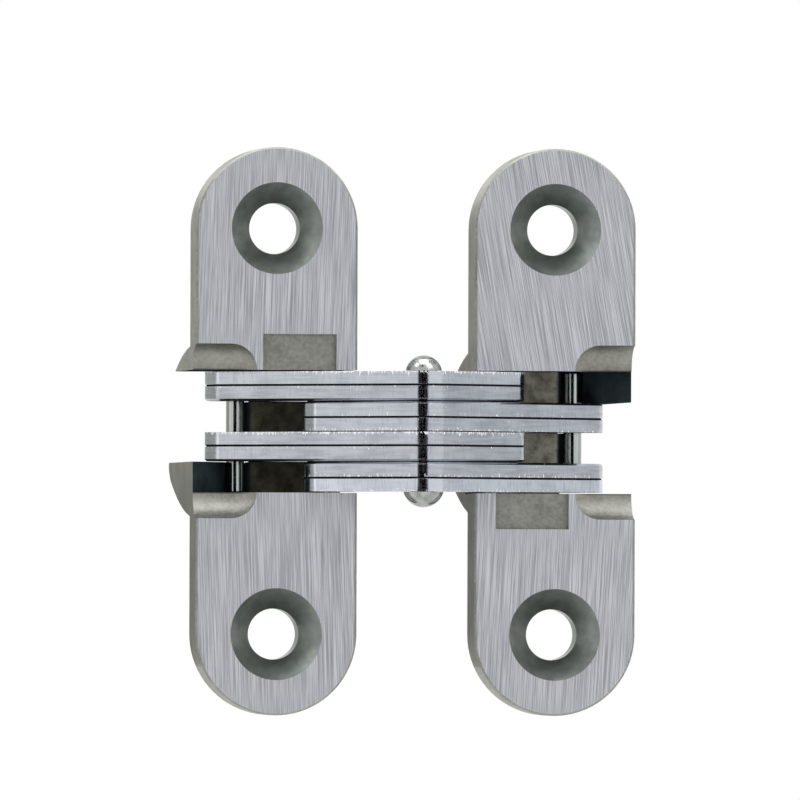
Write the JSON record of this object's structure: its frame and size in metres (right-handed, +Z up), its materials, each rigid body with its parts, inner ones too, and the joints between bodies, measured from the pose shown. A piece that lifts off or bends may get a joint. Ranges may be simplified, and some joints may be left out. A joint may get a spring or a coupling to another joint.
{
  "type": "concealed door hinge",
  "caption": "Concealed door hinge: slim cast leaves with round ends and countersunk screw holes, joined by a scissor of stamped link plates on a centre rivet.",
  "frame": {"origin": "middle of the jamb leaf's two-hole screw pattern, on the back of its plate, where the leaf bears on the wood; the hinge stands open flat", "axes": "+X from the jamb leaf to the door leaf, +Y into the wood, away from the faces, +Z up along the leaves"},
  "size_m": [0.0346, 0.0244, 0.0444],
  "materials": {
    "cast_leaf": "satin brushed face on a plated die casting, matte as-cast sides",
    "link_plate": "bright plated stamped steel",
    "rivet": "polished plated steel",
    "pin": "drawn steel pin"
  },
  "bodies": {
    "jamb_leaf": {"jamb_leaf": "cast_leaf", "fixed_pin_jamb": "pin"},
    "link_set_b": {"link_plate_3b": "link_plate", "link_plate_4b": "link_plate", "link_plate_7b": "link_plate", "link_plate_8b": "link_plate", "slide_pin_door": "pin", "centre_rivet": "rivet"},
    "link_set_a": {"link_plate_1a": "link_plate", "link_plate_2a": "link_plate", "link_plate_5a": "link_plate", "link_plate_6a": "link_plate", "slide_pin_jamb": "pin"},
    "door_leaf": {"door_leaf": "cast_leaf", "fixed_pin_door": "pin"}
  },
  "joints": [
    {"name": "link_b_swing", "type": "hinge", "parent": "jamb_leaf", "child": "link_set_b", "pos_m": [0.0046, -0.0007, 0], "axis": [0, 0, -1], "range_deg": [0, 105.9]},
    {"name": "scissor", "type": "hinge", "parent": "link_set_b", "child": "link_set_a", "pos_m": [0.011, -0.0082, 0], "axis": [0, 0, -1], "range_deg": [-31.81, 0]},
    {"name": "door_swing", "type": "hinge", "parent": "link_set_a", "child": "door_leaf", "pos_m": [0.0174, -0.0007, 0], "axis": [0, 0, -1], "range_deg": [0, 105.9]}
  ],
  "couplings": [
    {"joint": "scissor", "follows": "link_b_swing", "ratio": -0.30033},
    {"joint": "door_swing", "follows": "link_b_swing", "ratio": 1}
  ]
}
